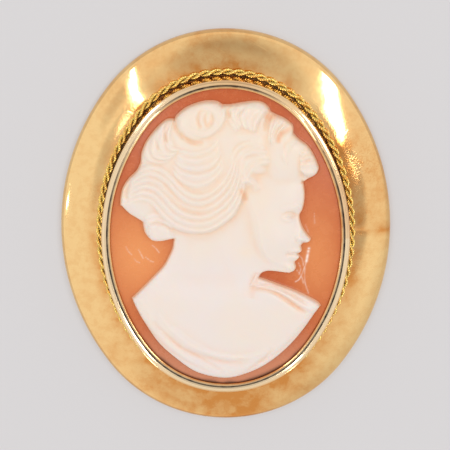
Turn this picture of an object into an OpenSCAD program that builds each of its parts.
// Cameo brooch: a carved shell cameo in a raised bezel, with a twisted wire round it and a wide domed rim.
// +X is the wearer's left, +Y the top of the brooch and +Z its front. The rim's edge rests on z = 0.

/* [Cameo] */
// Length of the cameo that shows inside the bezel
cameo_length = 33.4; // [29:0.2:40]
// Width of the cameo that shows inside the bezel
cameo_width = 25.2; // [22:0.2:28]
// Thickness of the shell that the cameo is cut from
shell_thickness = 1.7; // [1.2:0.1:2]
// Rise of the domed ground from the bezel to the middle
ground_rise = 1.1; // [0.4:0.1:2]
// Height of the carved figure above the ground
figure_height = 1.4; // [0.6:0.1:2]
// Width of the slope at the foot of the figure
figure_foot = 0.14; // [0.06:0.02:0.4]

/* [Bezel] */
// Height of the bezel above the surface that the brooch lies on
bezel_height = 5.15; // [4.8:0.05:7]
// Width of the lip that covers the cameo's edge
lip_cover = 0.22; // [0.15:0.01:0.4]
// Thickness of the lip
lip_thickness = 0.26; // [0.2:0.01:0.4]
// Thickness of the bezel's wall
bezel_wall = 0.5; // [0.4:0.02:0.9]
// Radius of the bezel's outer shoulder
shoulder_round = 0.14; // [0.05:0.01:0.2]
// Width of the scored line between the lip and the bezel's band
score_width = 0.12; // [0.06:0.01:0.16]
// Depth of the scored line
score_depth = 0.13; // [0.06:0.01:0.16]
// Width of the ledge that the cameo lies on
ledge_width = 0.75; // [0.4:0.05:1.5]
// Thickness of the ledge
ledge_thickness = 0.45; // [0.3:0.05:0.6]

/* [Rim] */
// Width of the rim from the bezel's wall to its outer edge
rim_width = 4.63; // [3.6:0.05:6]
// Angle that the dome of the rim falls to before it turns down, in degrees
rim_fall = 25; // [15:1:32]
// Radius of the turned-down outer edge
rim_turn = 0.9; // [0.6:0.05:1.2]
// Height of the straight skirt below the turned-down edge
rim_skirt = 0.3; // [0.2:0.05:0.6]
// Thickness of the rim's sheet metal
rim_sheet = 0.45; // [0.3:0.05:0.55]

/* [Twisted wire] */
// Diameter of the twisted wire, both plies together
rope_diameter = 0.68; // [0.5:0.02:0.8]
// Length along the wire that one full turn of the plies takes
rope_lay = 2.4; // [2.3:0.1:4]
// Gap between the twisted wire and the bezel's wall
rope_offset = 0.12; // [0.1:0.02:0.5]

/* [Pin] */
// Diameter of the pin's stem
pin_diameter = 0.85; // [0.6:0.05:0.9]
// Diameter of the hinge barrel and of the catch
pin_barrel = 1.2; // [1:0.05:1.3]
// Length of the hinge barrel and width of the catch's foot
pin_barrel_length = 2.6; // [1.6:0.1:4]
// Height of the stem above the brooch's middle line, towards the top
pin_up = 3; // [0:0.5:6]
// Distance of the hinge and the catch from the bezel's wall, outwards
pin_foot_out = 1.3; // [0.9:0.1:1.6]

/* [Fit] */
// Gap that separate pieces keep between them
piece_gap = 0.05; // [0.02:0.01:0.1]

/* [Hidden] */
$fn = 64;
far = 40;
dome_steps = 12;

// Every ring of the brooch is the same four-centred oval, moved outwards by its own distance. The lines
// from the centres of its side arcs to those of its end arcs rise 3 for every 4 across: there the arcs meet.
oval_turn = atan2(3, 4);
side_centre = cameo_length - cameo_width;
end_centre = side_centre * 3 / 4;
side_r = cameo_width / 2 + side_centre;
end_r = cameo_length / 2 - end_centre;

// Radial distances from the edge of the opening, outwards
wall_in = lip_cover + piece_gap;
wall_out = wall_in + bezel_wall;
rim_out = wall_out + rim_width;
score_at = wall_in + score_width / 2;
rope_at = wall_out + rope_offset + rope_diameter / 2;

// Heights
turn_centre_r = rim_out - rim_turn;
meet_r = turn_centre_r + rim_turn * sin(rim_fall);
meet_z = rim_skirt + rim_turn * cos(rim_fall);
dome_r = (meet_r - wall_out) / sin(rim_fall);
dome_centre_z = meet_z - dome_r * cos(rim_fall);
rim_top = dome_centre_z + dome_r;
ground_edge = bezel_height - lip_thickness - piece_gap;
ledge_top = ground_edge - shell_thickness - ground_rise * ground_drop(lip_cover) - piece_gap;
rope_z = dome_height(rope_at, 0) + piece_gap + rope_diameter / 2;
pin_height = dome_height(wall_out + pin_foot_out + pin_barrel / 2, rim_sheet + piece_gap) - pin_barrel / 2;
pin_reach = oval_half(pin_up, wall_out + pin_foot_out);

// Share of its rise that the domed ground loses at a distance outside the opening, at the brooch's side
function ground_drop(out) = pow((cameo_width / 2 + out) / (cameo_width / 2), 2) - 1;

// Height of the rim's dome, moved in by inset, at a radial distance
function dome_height(out, inset) = dome_centre_z + sqrt(pow(dome_r - inset, 2) - pow(out - wall_out, 2));

// Sweep a profile round the oval. X of the profile is its distance outside the opening.
module oval_sweep() {
  for (side = [0, 1]) {
    mirror([side, 0, 0])
      translate([-side_centre, 0, 0]) intersection() {
        rotate_extrude() translate([side_r, 0]) children();
        linear_extrude(far) polygon([[0, 0], [4 * far, -3 * far], [4 * far, 3 * far]]);
      }
    mirror([0, side, 0])
      translate([0, end_centre, 0]) intersection() {
        rotate_extrude() translate([end_r, 0]) children();
        linear_extrude(far) polygon([[0, 0], [4 * far, 3 * far], [-4 * far, 3 * far]]);
      }
  }
}

// Points of an arc between two directions in degrees, without its first point
function arc(centre, radius, from, to, steps) = [
  for (i = [1 : steps])
    let (turn = from + (to - from) * i / steps)
    centre + radius * [cos(turn), sin(turn)]
];

// Rim and bezel in one outline: skirt, turned edge, dome, bezel wall, scored line, lip, ledge and underside
module frame_profile() {
  turn_centre = [turn_centre_r, rim_skirt];
  dome_centre = [wall_out, dome_centre_z];
  shoulder_centre = [wall_out - shoulder_round, bezel_height - shoulder_round];
  lip_r = lip_thickness / 2;
  fall = 90 - rim_fall;
  polygon([
    [rim_out, 0],
    [rim_out, rim_skirt],
    each arc(turn_centre, rim_turn, 0, fall, 6),
    each arc(dome_centre, dome_r, fall, 90, dome_steps),
    [wall_out, bezel_height - shoulder_round],
    each arc(shoulder_centre, shoulder_round, 0, 90, 4),
    [score_at + score_width / 2, bezel_height],
    [score_at, bezel_height - score_depth],
    [score_at - score_width / 2, bezel_height],
    [lip_r, bezel_height],
    each arc([lip_r, bezel_height - lip_r], lip_r, 90, 270, 6),
    [wall_in, bezel_height - lip_thickness],
    [wall_in, ledge_top],
    [wall_in - ledge_width, ledge_top],
    [wall_in - ledge_width, ledge_top - ledge_thickness],
    [wall_in, ledge_top - ledge_thickness],
    [wall_in, rim_top - rim_sheet],
    [wall_out, rim_top - rim_sheet],
    each arc(dome_centre, dome_r - rim_sheet, 90, fall, dome_steps),
    each arc(turn_centre, rim_turn - rim_sheet, fall, 0, 6),
    [rim_out - rim_sheet, 0],
  ]);
}

// Rim and bezel, soldered into one piece
module frame() {
  color("goldenrod") oval_sweep() frame_profile();
}

// Lengths of the oval's arcs at a distance outside the opening
function side_arc(out) = (side_r + out) * 2 * oval_turn * PI / 180;
function end_arc(out) = (end_r + out) * (180 - 2 * oval_turn) * PI / 180;
function oval_length(out) = 2 * side_arc(out) + 2 * end_arc(out);

// Point of the oval at a length s from the start of its +X side: [x, y, direction outwards in degrees]
function oval_point(s, out) =
  let (
    a = side_arc(out),
    b = end_arc(out),
    part = s < a ? 0 : s < a + b ? 1 : s < 2 * a + b ? 2 : 3,
    along = s - [0, a, a + b, 2 * a + b][part],
    r = (part % 2 == 0 ? side_r : end_r) + out,
    start = [-oval_turn, oval_turn, 180 - oval_turn, 180 + oval_turn][part],
    turn = start + along / r * 180 / PI,
    centre = [[-side_centre, 0], [0, end_centre], [side_centre, 0], [0, -end_centre]][part]
  )
  [centre[0] + r * cos(turn), centre[1] + r * sin(turn), turn];

// Section of the two plies, as shares of the ply's radius: [across, up]
ply_section = [[2, 0], [1.5, 0.87], [0, 0.3], [-1.5, 0.87], [-2, 0], [-1.5, -0.87], [0, -0.3], [1.5, -0.87]];
rings_per_turn = 10;

// Two plies twisted into one wire that lies on the rim round the bezel
module twisted_wire() {
  ply = rope_diameter / 4;
  turns = round(oval_length(rope_at) / rope_lay);
  rings = turns * rings_per_turn;
  sides = len(ply_section);
  step = oval_length(rope_at) / rings;
  points = [
    for (ring = [0 : rings - 1])
      let (
        at = oval_point(ring * step, rope_at),
        twist = ring * 360 / rings_per_turn
      )
      for (p = ply_section)
        let (
          across = ply * (p[0] * cos(twist) - p[1] * sin(twist)),
          up = ply * (p[0] * sin(twist) + p[1] * cos(twist))
        )
        [at[0] + across * cos(at[2]), at[1] + across * sin(at[2]), rope_z + up]
  ];
  faces = [
    for (ring = [0 : rings - 1], side = [0 : sides - 1])
      let (
        a = ring * sides + side,
        b = ring * sides + (side + 1) % sides,
        next = ((ring + 1) % rings) * sides,
        c = next + (side + 1) % sides,
        d = next + side
      )
      each [[a, b, c], [a, c, d]]
  ];
  color("gold") polyhedron(points, faces);
}

// Outline of the figure, one row for each level, from the dress's lowest point to the top of the hair. The
// profile between levels -24 and 40 is a calm classical one: hairline, brow, base of the nose and chin are a
// third apart. Columns: level, back edge, front edge. Levels are hundredths of the cameo's half length, and
// edges are hundredths of its half width.
figure_outline = [
  [-95, -4, 9],
  [-92.5, -20, 21],
  [-89.5, -30, 32],
  [-85, -40, 42],
  [-78, -50, 54],
  [-69.5, -60, 64],
  [-63, -65, 70],
  [-57, -70, 75],
  [-51, -74.5, 79],
  [-45.5, -78, 83],
  [-43, -79.5, 81],
  [-37.5, -82, 69],
  [-35.5, -78, 64.5],
  [-31.5, -72, 54],
  [-28.5, -68, 43],
  [-25.5, -64.5, 29],
  [-24, -62.5, 30],
  [-23, -61, 56],
  [-21.5, -59.5, 66],
  [-19, -57, 70],
  [-15, -52.5, 68.6],
  [-11.3, -49, 72],
  [-8.7, -47.8, 70.3],
  [-6.8, -47, 73.2],
  [-4.5, -46.3, 71.5],
  [-2.2, -45.6, 73.5],
  [-1, -60, 78],
  [0.5, -64, 79],
  [4, -69, 75],
  [8, -70.5, 71.5],
  [12, -71.5, 68.5],
  [15.5, -73.5, 67],
  [17.5, -79, 68.8],
  [20, -83, 69.8],
  [25.5, -91.5, 69.6],
  [30, -91, 68.5],
  [36, -89, 66.5],
  [40, -86.5, 65.5],
  [43, -84, 72],
  [46, -81, 78.5],
  [51, -75.5, 81],
  [54, -74, 80],
  [61, -72, 75.5],
  [65.5, -71.3, 70],
  [69.5, -69, 61],
  [72, -67.5, 58],
  [79, -57, 58.5],
  [81.5, -52, 55],
  [83.5, -43.5, 51],
  [86.5, -40.5, 42],
  [90.5, -33, 38],
  [93, -27, 34],
  [94.7, -19, 27],
];

// Rounded masses of the figure: rolls and waves of the hair, then face, neck and bust.
// Columns: middle across, middle up, half width, half height, turn in degrees, height. The two half sizes
// are in hundredths of the cameo's half width, the height is a share of the figure's height.
figure_masses = [
  [-23, 83, 24, 18, 12, 1.00],
  [-58, 67, 17, 21, -20, 0.96],
  [-70, 34, 25, 19, -12, 0.96],
  [-60, 9, 17, 13, 0, 0.88],
  [-24, 52, 22, 24, 0, 1.00],
  [-24, 25, 40, 28, 8, 0.96],
  [19, 81, 23, 22, -10, 0.97],
  [46, 75, 17, 13, -8, 0.93],
  [69, 54, 17, 17, 30, 0.92],
  [26, 52, 24, 24, 0, 0.92],
  [0, 60, 66, 34, 0, 0.84],
  [40, 8, 44, 52, 0, 0.80],
  [-6, -16, 46, 58, 0, 0.60],
  [0, -62, 94, 62, 0, 0.80],
  [-46, -48, 46, 38, 0, 0.72],
  [40, -56, 48, 42, 0, 0.76],
];

// Folds of the dress, each a raised ridge along a bend.
// Columns: start across and up, bend across and up, end across and up, half width, height. The half width
// is in hundredths of the cameo's half width, the height is a share of the figure's height.
figure_folds = [
  [30, -27, 58, -31, 80, -45, 5, 0.84],
  [25, -33, 54, -38, 76, -53, 5, 0.80],
  [80, -50, 74, -66, 50, -80, 5, 0.74],
  [-76, -48, -58, -84, 4, -93, 6, 0.70],
  [-58, -62, -30, -80, 10, -84, 6, 0.86],
];

// Share of the figure's height at the edge of each mass, and the share that the figure's soft edge takes off
edge_share = 0.42;
soft_share = 0.65;
soft_edge = 2.2;
// Shares of a fold's height along its sides, and of its width at its ends
fold_side = 0.8;
fold_end = 0.55;
// Spacing of the carved rows, and the number of columns across the figure and on each side of it
row_step = 0.44;
figure_columns = 28;
ground_columns = 3;
back_columns = 4;
fold_steps = 6;
ground_min = 0.3;
girdle_flat = 0.2;

girdle = lip_cover;
half_w = cameo_width / 2;
half_l = cameo_length / 2;

// Half width of the oval at a level y, at a distance outside the opening
function oval_half(y, out) =
  let (
    level = abs(y),
    side_part = (side_r + out) * sin(oval_turn)
  )
  level < side_part
    ? -side_centre + sqrt(pow(side_r + out, 2) - pow(level, 2))
    : sqrt(max(0, pow(end_r + out, 2) - pow(level - end_centre, 2)));

// Height of the domed ground
function ground(x, y) = ground_edge + ground_rise * (1 - pow(x / half_w, 2) - pow(y / half_l, 2));

// Distance and place along a bend given as a list of points: [distance, share of the length]
function nearest(x, y, line) =
  let (
    found = [
      for (i = [0 : len(line) - 2])
        let (
          a = line[i],
          d = line[i + 1] - a,
          t = max(0, min(1, ([x, y] - a) * d / (d * d)))
        )
        [norm([x, y] - a - d * t), (i + t) / (len(line) - 1)]
    ],
    best = min([for (f = found) f[0]])
  )
  [for (f = found) if (f[0] == best) f][0];

// Points along the bend of one fold, in millimetres
function fold_line(f) = [
  for (i = [0 : fold_steps])
    let (t = i / fold_steps)
    [
      (pow(1 - t, 2) * f[0] + 2 * t * (1 - t) * f[2] + t * t * f[4]) / 100 * half_w,
      (pow(1 - t, 2) * f[1] + 2 * t * (1 - t) * f[3] + t * t * f[5]) / 100 * half_l
    ]
];

// Height of one fold at a point, as a share of the figure's height
function fold_height(x, y, f, line) =
  let (
    near = nearest(x, y, line),
    half = f[6] / 100 * half_w * (fold_end + (1 - fold_end) * sin(180 * near[1])),
    u = near[0] / half
  )
  u < 1 ? f[7] * (fold_side + (1 - fold_side) * sqrt(1 - u * u)) : 0;

// Height of one rounded mass at a point, as a share of the figure's height
function mass_height(x, y, m) =
  let (
    dx = x - m[0] / 100 * half_w,
    dy = y - m[1] / 100 * half_l,
    across = (dx * cos(m[4]) + dy * sin(m[4])) / (m[2] / 100 * half_w),
    up = (dy * cos(m[4]) - dx * sin(m[4])) / (m[3] / 100 * half_w),
    d = across * across + up * up
  )
  d < 1 ? m[5] * (edge_share + (1 - edge_share) * sqrt(1 - d)) : 0;

// Height of the carving above the ground, inside the outline
function carving(x, y, side, lines) =
  let (
    body = max([for (m = figure_masses) mass_height(x, y, m)]),
    fold = max([for (i = [0 : len(lines) - 1]) fold_height(x, y, figure_folds[i], lines[i])]),
    rise = sqrt(1 - pow(1 - min(1, side / soft_edge), 2))
  )
  figure_height * (edge_share + (max(body, fold, edge_share) - edge_share) * (1 - soft_share * (1 - rise)));

// Rows of the carved face: [level, back edge, front edge, 1 inside the figure or 0 outside]
function outline_rows() =
  let (
    t = figure_outline,
    last = len(t) - 1,
    low = t[0][0] / 100 * half_l,
    high = t[last][0] / 100 * half_l,
    end = half_l + girdle - girdle_flat
  )
  [
    [-end, t[0][1], t[0][2], 0],
    [low - figure_foot, t[0][1], t[0][2], 0],
    for (i = [0 : last - 1])
      let (
        gap = (t[i + 1][0] - t[i][0]) / 100 * half_l,
        cuts = ceil(gap / row_step)
      )
      for (k = [0 : cuts - 1])
        let (row = t[i] + (t[i + 1] - t[i]) * k / cuts)
        [row[0] / 100 * half_l, row[1], row[2], 1],
    [high, t[last][1], t[last][2], 1],
    [high + figure_foot, t[last][1], t[last][2], 0],
    [end, t[last][1], t[last][2], 0]
  ];

// Shell cameo, carved from one piece: the domed ground and the raised figure of a lady in profile
module cameo() {
  lines = [for (f = figure_folds) fold_line(f)];
  rows = outline_rows();
  front = [
    for (row = rows)
      let (
        y = row[0],
        half = oval_half(y, girdle),
        back_edge = max(row[1] / 100 * half_w, figure_foot + ground_min - half),
        front_edge = min(row[2] / 100 * half_w, half - figure_foot - ground_min)
      )
      [
        for (k = [0 : ground_columns])
          let (x = -half + (back_edge - figure_foot + half) * k / ground_columns)
          [x, y, ground(x, y)],
        for (k = [0 : figure_columns])
          let (
            x = back_edge + (front_edge - back_edge) * k / figure_columns,
            side = max(0, min(x - back_edge, front_edge - x))
          )
          [x, y, ground(x, y) + (row[3] == 1 ? carving(x, y, side, lines) : 0)],
        for (k = [ground_columns : -1 : 0])
          let (x = half - (half - front_edge - figure_foot) * k / ground_columns)
          [x, y, ground(x, y)]
      ]
  ];
  back = [
    for (row = rows)
      let (half = oval_half(row[0], girdle))
      [
        for (k = [0 : back_columns])
          let (x = -half + 2 * half * k / back_columns)
          [x, row[0], ground(x, row[0]) - shell_thickness]
      ]
  ];
  wide = len(front[0]);
  narrow = len(back[0]);
  count = len(rows);
  base = count * wide;
  top_back = base + (count - 1) * narrow;
  faces = [
    for (j = [0 : count - 2], k = [0 : wide - 2])
      let (a = j * wide + k)
      each [[a, a + wide, a + wide + 1], [a, a + wide + 1, a + 1]],
    for (j = [0 : count - 2], k = [0 : narrow - 2])
      let (a = base + j * narrow + k)
      each [[a, a + narrow + 1, a + narrow], [a, a + 1, a + narrow + 1]],
    for (j = [0 : count - 2])
      let (
        a = j * wide,
        b = base + j * narrow,
        c = a + wide - 1,
        d = b + narrow - 1
      )
      each [
        [a, b, b + narrow], [a, b + narrow, a + wide],
        [c, d + narrow, d], [c, c + wide, d + narrow]
      ],
    [for (k = [0 : wide - 1]) k, for (k = [narrow - 1 : -1 : 0]) base + k],
    [for (k = [wide - 1 : -1 : 0]) base - wide + k, for (k = [0 : narrow - 1]) top_back + k]
  ];
  color("antiquewhite") polyhedron([each [for (r = front) each r], each [for (r = back) each r]], faces);
}

// Foot that follows the underside of the rim, for the hinge or the catch
module pin_foot(side) {
  foot_in = wall_out + pin_foot_out - pin_barrel / 2;
  intersection() {
    oval_sweep() polygon([
      [foot_in, pin_height],
      [foot_in + pin_barrel, pin_height],
      for (i = [4 : -1 : 0])
        let (out = foot_in + pin_barrel * i / 4)
        [out, dome_height(out, rim_sheet + piece_gap)],
    ]);
    translate([side > 0 ? 0 : -far, pin_up - pin_barrel_length / 2, 0]) cube([far, pin_barrel_length, far]);
  }
}

// Pin across the open back: hinge barrel, stem and catch as one plain piece
module pin() {
  color("darkgoldenrod") {
    for (side = [-1, 1]) pin_foot(side);
    translate([-pin_reach, pin_up + pin_barrel_length / 2, pin_height])
      rotate([90, 0, 0]) cylinder(d = pin_barrel, h = pin_barrel_length);
    translate([-pin_reach, pin_up, pin_height])
      rotate([0, 90, 0]) cylinder(d = pin_diameter, h = 2 * pin_reach);
    translate([pin_reach, pin_up + pin_diameter, pin_height])
      rotate([90, 0, 0]) cylinder(d = pin_barrel, h = 2 * pin_diameter);
  }
}

frame();
twisted_wire();
cameo();
pin();
